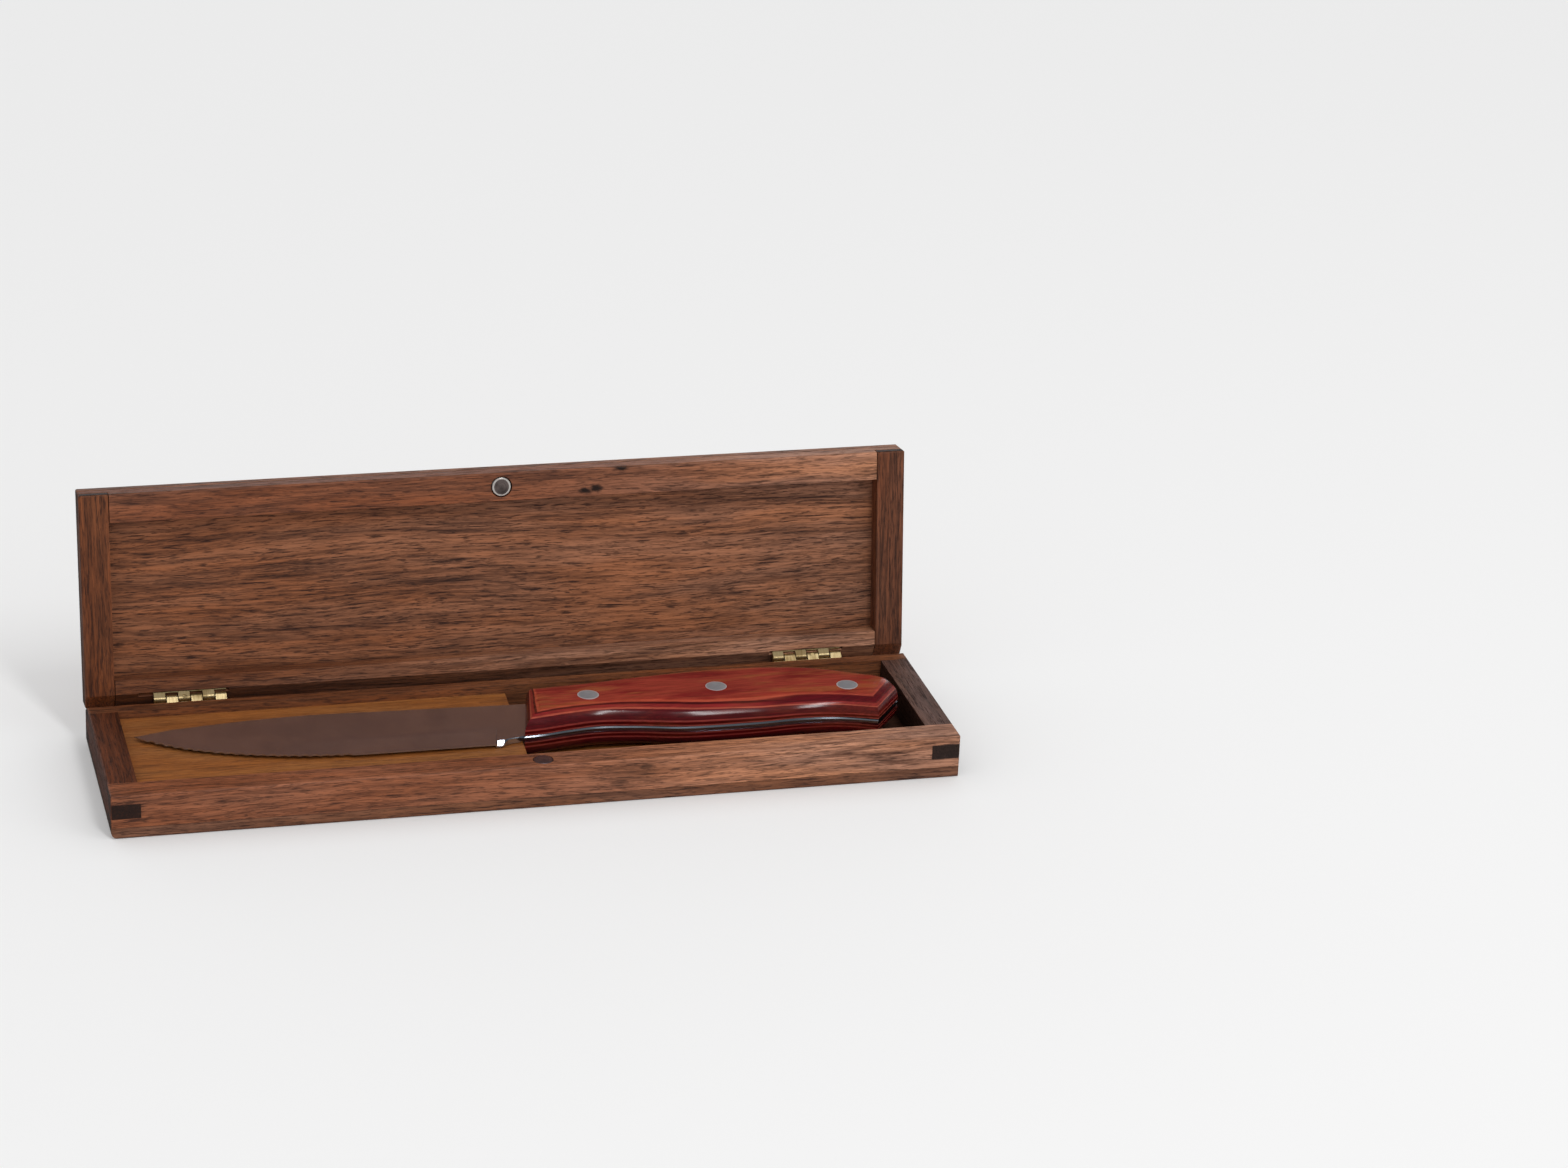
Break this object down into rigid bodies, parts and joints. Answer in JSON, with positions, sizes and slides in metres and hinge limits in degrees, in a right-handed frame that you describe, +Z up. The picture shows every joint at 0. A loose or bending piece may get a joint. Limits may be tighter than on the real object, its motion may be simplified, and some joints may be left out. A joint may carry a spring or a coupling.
{
  "type": "knife display case",
  "caption": "Shallow wooden box with a hinged lid standing open, showing a serrated knife laid on its inner block.",
  "frame": {"origin": "middle of the case's flat underside", "axes": "+X along the case toward the knife's handle, +Y to the hinge side, +Z up"},
  "size_m": [0.28, 0.0909, 0.085],
  "materials": {
    "walnut": "oiled, open grain, satin",
    "dark_walnut": "oiled, open grain, satin",
    "block_wood": "oiled, fine grain, satin",
    "brass": "bright",
    "magnet": "nickel plated",
    "blade_steel": "fine brushed",
    "red_laminate": "polished red and orange laminate",
    "rivet_steel": "ground flush"
  },
  "bodies": {
    "base": {"base_front_rail": "walnut", "base_rear_rail": "walnut", "base_left_rail": "dark_walnut", "base_right_rail": "dark_walnut", "base_bottom_board": "walnut", "base_magnet": "magnet", "blade_block": "block_wood", "left_hinge_base_leaf": "brass", "left_hinge_pin": "brass", "right_hinge_base_leaf": "brass", "right_hinge_pin": "brass"},
    "lid": {"lid_front_rail": "walnut", "lid_rear_rail": "walnut", "lid_left_rail": "dark_walnut", "lid_right_rail": "dark_walnut", "lid_board": "walnut", "lid_magnet": "magnet", "left_hinge_lid_leaf": "brass", "right_hinge_lid_leaf": "brass"},
    "knife": {"knife_blade": "blade_steel", "upper_scale": "red_laminate", "lower_scale": "red_laminate", "front_rivet": "rivet_steel", "middle_rivet": "rivet_steel", "rear_rivet": "rivet_steel"}
  },
  "joints": [
    {"name": "lid_hinge", "type": "hinge", "parent": "base", "child": "lid", "pos_m": [0, 0.03413, 0.01515], "axis": [1, 0, 0], "range_deg": [0, 98]},
    {"name": "knife_lift", "type": "slide", "parent": "base", "child": "knife", "axis": [0, 0, 1], "range_m": [0, 0.025]}
  ]
}
